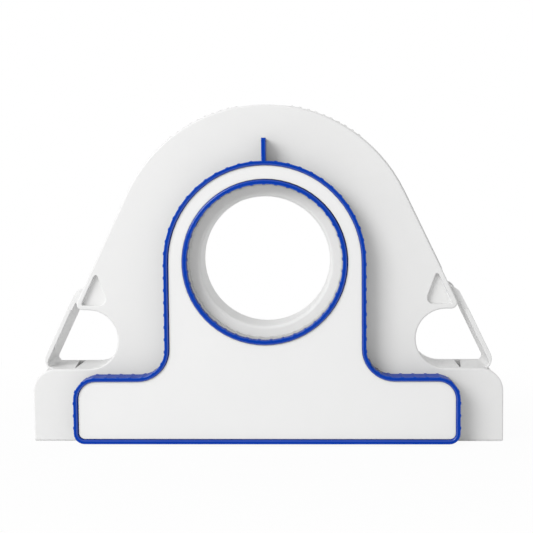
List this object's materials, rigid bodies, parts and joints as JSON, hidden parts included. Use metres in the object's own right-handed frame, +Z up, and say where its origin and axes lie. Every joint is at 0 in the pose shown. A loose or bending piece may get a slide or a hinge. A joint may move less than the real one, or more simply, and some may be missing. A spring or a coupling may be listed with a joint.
{
  "type": "masking tape applicator",
  "caption": "Flat hand applicator for masking tape: two moulded plates round a finger bore, a raised blue frame with a plain panel, a tape hub, swinging end arms and saw-edged cutters in the foot.",
  "frame": {"origin": "middle of the base, half way through the depth from the blue frame's face to the back plate", "axes": "+X along the base to the right as the face is seen, +Y from the face to the back, +Z up from the base"},
  "size_m": [0.2212, 0.0396, 0.1577],
  "materials": {
    "white_plastic": "fine moulded texture",
    "panel_plastic": "smooth, satin",
    "blue_plastic": "satin",
    "grey_plastic": "satin",
    "steel": "bright"
  },
  "bodies": {
    "housing": {"rear_shell": "white_plastic", "arm_pin_left": "steel", "arm_pin_right": "steel", "roller_axle_left": "steel", "roller_axle_right": "steel", "cutter_blade_left": "steel", "cutter_blade_right": "steel", "blade_screw_left_1": "steel", "blade_screw_left_2": "steel", "blade_screw_right_1": "steel", "blade_screw_right_2": "steel"},
    "cover": {"front_cover": "white_plastic", "blue_frame": "blue_plastic", "face_panel": "panel_plastic", "frame_screw_1": "steel", "frame_screw_2": "steel", "frame_screw_3": "steel", "frame_screw_4": "steel", "frame_screw_5": "steel"},
    "hub": {"tape_hub": "grey_plastic"},
    "arm_left": {"end_arm_left": "white_plastic"},
    "arm_right": {"end_arm_right": "white_plastic"},
    "roller_left": {"guide_roller_left": "grey_plastic"},
    "roller_right": {"guide_roller_right": "grey_plastic"}
  },
  "joints": [
    {"name": "cover_pull", "type": "slide", "parent": "housing", "child": "cover", "axis": [0, -1, 0], "range_m": [0, 0.03]},
    {"name": "hub_spin", "type": "hinge", "parent": "housing", "child": "hub", "pos_m": [0, 0, 0.085], "axis": [0, 1, 0], "continuous": true},
    {"name": "arm_left_swing", "type": "hinge", "parent": "housing", "child": "arm_left", "pos_m": [-0.08619, 0, 0.0682], "axis": [0, 1, 0], "range_deg": [0, 55]},
    {"name": "arm_right_swing", "type": "hinge", "parent": "housing", "child": "arm_right", "pos_m": [0.08619, 0, 0.0682], "axis": [0, -1, 0], "range_deg": [0, 55]},
    {"name": "roller_left_spin", "type": "hinge", "parent": "housing", "child": "roller_left", "pos_m": [-0.099, 0, 0.0105], "axis": [0, 1, 0], "continuous": true},
    {"name": "roller_right_spin", "type": "hinge", "parent": "housing", "child": "roller_right", "pos_m": [0.099, 0, 0.0105], "axis": [0, 1, 0], "continuous": true}
  ]
}
